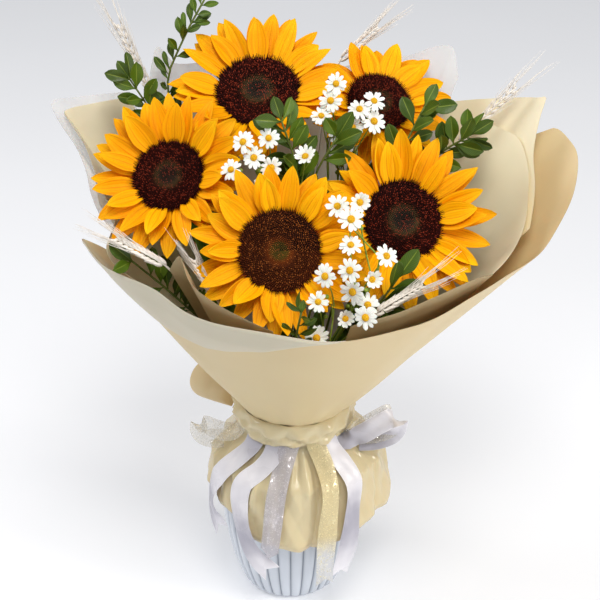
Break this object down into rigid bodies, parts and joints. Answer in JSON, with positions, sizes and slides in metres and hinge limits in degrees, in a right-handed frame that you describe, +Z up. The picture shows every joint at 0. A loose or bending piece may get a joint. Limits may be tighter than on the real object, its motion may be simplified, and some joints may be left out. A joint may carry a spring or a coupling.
{
  "type": "bunch of sunflowers",
  "caption": "Hand-tied bunch of sunflowers with chamomile, leafy twigs and bearded wheat, wrapped in paper, tied with ribbons and standing in a ribbed vase.",
  "frame": {"origin": "centre of the vase's underside, on the surface it stands on", "axes": "+Z up along the vase's axis; -Y towards the front of the bunch, the side its blooms face; +X to the right of someone who looks at that front"},
  "size_m": [0.4127, 0.2651, 0.5258],
  "materials": {
    "vase": "white glaze, faintly blue, over rounded vertical ribs",
    "paper": "cream wrapping paper with a soft sheen, creased where it is gathered",
    "tissue": "thin whitish translucent tissue",
    "satin": "white satin ribbon, glossy along its folds",
    "organza": "sheer gold and silver ribbon with glitter",
    "petal": "golden yellow ray petals with fine lengthwise lines, orange at their bases",
    "disc": "dark maroon-brown florets, speckled, grey-green at the centre",
    "disc_light": "mid-brown florets, speckled, darker at the centre",
    "stem": "green stem and bracts, slightly hairy",
    "chamomile": "white petals round a yellow centre, on light green stalks",
    "leaf": "dark green glossy leaflets on brown-green twigs",
    "wheat": "bleached ears with long fine awns"
  },
  "bodies": {
    "root": {"chamomile_1": "chamomile", "chamomile_2": "chamomile", "chamomile_3": "chamomile", "chamomile_4": "chamomile", "chamomile_5": "chamomile", "foliage_centre": "leaf", "foliage_centre_right": "leaf", "foliage_front_low": "leaf", "foliage_front_right": "leaf", "foliage_left_back": "leaf", "foliage_left_low": "leaf", "foliage_right": "leaf", "foliage_right_back": "leaf", "foliage_upper_left": "leaf", "paper_back": "paper", "paper_band": "paper", "paper_fold": "paper", "paper_front": "paper", "paper_left": "paper", "paper_right": "paper", "paper_right_inner": "paper", "paper_skirt": "paper", "ribbon_organza": "organza", "ribbon_satin": "satin", "sunflower_back_right_disc": "disc", "sunflower_back_right_rays": "petal", "sunflower_back_right_stem": "stem", "sunflower_front_disc": "disc_light", "sunflower_front_rays": "petal", "sunflower_front_stem": "stem", "sunflower_left_disc": "disc", "sunflower_left_rays": "petal", "sunflower_left_stem": "stem", "sunflower_right_disc": "disc", "sunflower_right_rays": "petal", "sunflower_right_stem": "stem", "sunflower_top_disc": "disc", "sunflower_top_rays": "petal", "sunflower_top_stem": "stem", "tissue_back": "tissue", "tissue_front_left": "tissue", "tissue_front_right": "tissue", "tissue_left": "tissue", "vase": "vase", "wheat_1": "wheat", "wheat_2": "wheat", "wheat_3": "wheat", "wheat_4": "wheat", "wheat_5": "wheat", "wheat_6": "wheat"}
  },
  "joints": []
}
